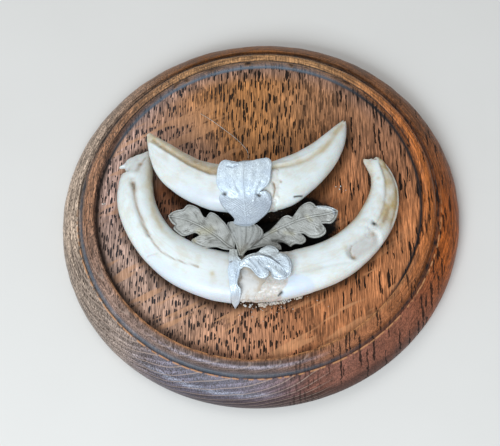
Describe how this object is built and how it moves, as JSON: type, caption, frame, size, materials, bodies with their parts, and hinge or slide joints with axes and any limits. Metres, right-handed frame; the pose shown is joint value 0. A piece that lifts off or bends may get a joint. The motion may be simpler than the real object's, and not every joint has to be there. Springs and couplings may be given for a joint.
{
  "type": "boar tusk trophy plaque",
  "caption": "Wild boar tusks mounted on a round turned oak plaque and held by a sprig of cast metal oak leaves.",
  "frame": {"origin": "middle of the plaque's flat back face", "axes": "+Z out of the plaque's face, +Y from the lower tusks to the upper ones, +X to the right"},
  "size_m": [0.2, 0.2, 0.0379],
  "materials": {
    "oak": "stained and waxed quarter-sawn oak, open dark pores, worn orange arrises",
    "ivory": "aged tusk enamel and dentine, satin, with brown stains in the grooves",
    "plaster": "rough dry plaster",
    "filler": "dark crumbly glue and filler",
    "pewter": "cast pewter, dull grey patina with brighter rubbed ridges"
  },
  "bodies": {
    "root": {"plaque": "oak", "lower_tusk_left": "ivory", "lower_tusk_right": "ivory", "upper_tusk_left": "ivory", "upper_tusk_right": "ivory", "plaster_lower": "plaster", "plaster_upper": "plaster", "glue_bed": "filler", "leaf_cap": "pewter", "leaf_left": "pewter", "leaf_right": "pewter", "leaf_curled": "pewter", "strap": "pewter"}
  },
  "joints": []
}
